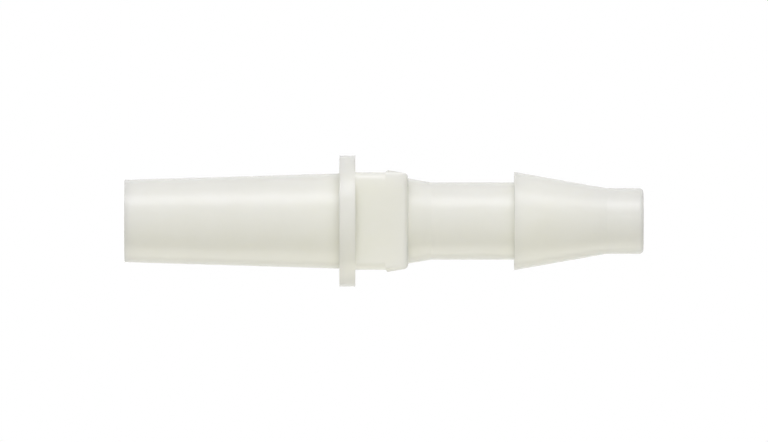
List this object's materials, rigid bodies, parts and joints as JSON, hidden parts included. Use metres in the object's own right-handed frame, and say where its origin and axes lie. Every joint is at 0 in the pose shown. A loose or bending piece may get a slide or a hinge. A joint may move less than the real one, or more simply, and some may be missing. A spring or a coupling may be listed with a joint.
{
  "type": "male luer hose barb fitting",
  "caption": "Moulded tube fitting with a male luer cone, a round flange, a snap collar for a separate lock ring and a hose barb, bored right through.",
  "frame": {"origin": "middle of the luer tip's flat face, which is the foot", "axes": "+Z along the bore from the luer tip to the hose barb, +X through the two ridged faces of the collar, +Y through its two plain faces"},
  "size_m": [0.0064, 0.0064, 0.025],
  "materials": {
    "milky_plastic": "natural milky translucent nylon, semi-gloss as moulded"
  },
  "bodies": {
    "root": {"luer_barb_fitting": "milky_plastic"}
  },
  "joints": []
}
